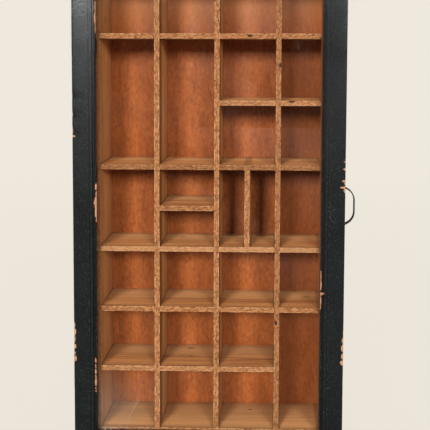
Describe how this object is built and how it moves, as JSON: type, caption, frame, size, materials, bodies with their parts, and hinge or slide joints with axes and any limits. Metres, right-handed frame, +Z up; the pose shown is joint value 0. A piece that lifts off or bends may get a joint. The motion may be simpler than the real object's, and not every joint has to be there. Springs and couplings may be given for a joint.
{
  "type": "thimble display case",
  "caption": "Tall glazed wooden display case with a crate of small compartments behind a hinged, moulded door with a bow pull.",
  "frame": {"origin": "middle of the face that the case stands on", "axes": "+X to the right, +Y to the back, +Z up; the glazed door faces -Y"},
  "size_m": [0.2762, 0.1326, 0.498],
  "materials": {
    "black_paint": "satin black paint on softwood, worn through to the wood at the edges",
    "pine": "bare sawn pine, darkened with age",
    "back_ply": "reddish brown plywood with a fine upright grain",
    "glass": "clear, slightly dusty sheet glass",
    "brass": "dull brass",
    "steel": "bright steel",
    "black_iron": "black, slightly worn",
    "hardwood": "plain beech"
  },
  "bodies": {
    "case": {"side_board_left": "black_paint", "side_board_right": "black_paint", "top_board": "black_paint", "bottom_board": "black_paint", "case_pins": "steel", "back_panel": "back_ply", "back_panel_pins": "steel", "liner_left": "pine", "liner_right": "pine", "liner_top": "pine", "liner_bottom": "pine", "divider_1": "pine", "divider_2": "pine", "divider_3": "pine", "divider_short": "pine", "shelf_1": "pine", "shelf_2": "pine", "shelf_3": "pine", "shelf_4_short": "pine", "shelf_5": "pine", "shelf_6_right": "pine", "shelf_7": "pine", "hinge_case_leaf_lower": "brass", "hinge_case_leaf_upper": "brass", "hinge_pin_lower": "brass", "hinge_pin_upper": "brass", "hinge_case_screws": "brass", "catch_magnet": "steel", "hanger_left": "brass", "hanger_right": "brass", "hanger_screws": "brass"},
    "door": {"door_stile_left": "black_paint", "door_stile_right": "black_paint", "door_rail_bottom": "black_paint", "door_rail_top": "black_paint", "mitre_feathers": "hardwood", "glass_pane": "glass", "glazing_bead_left": "black_paint", "glazing_bead_right": "black_paint", "glazing_bead_bottom": "black_paint", "glazing_bead_top": "black_paint", "glazing_bead_pins": "steel", "hinge_door_leaf_lower": "brass", "hinge_door_leaf_upper": "brass", "hinge_door_screws": "brass", "door_pull": "black_iron", "pull_screws": "black_iron", "strike_plate": "steel", "strike_screw": "steel"}
  },
  "joints": [
    {"name": "door_hinge", "type": "hinge", "parent": "case", "child": "door", "pos_m": [-0.1324, -0.0568, 0.249], "axis": [0, 0, -1], "range_deg": [0, 175]}
  ]
}
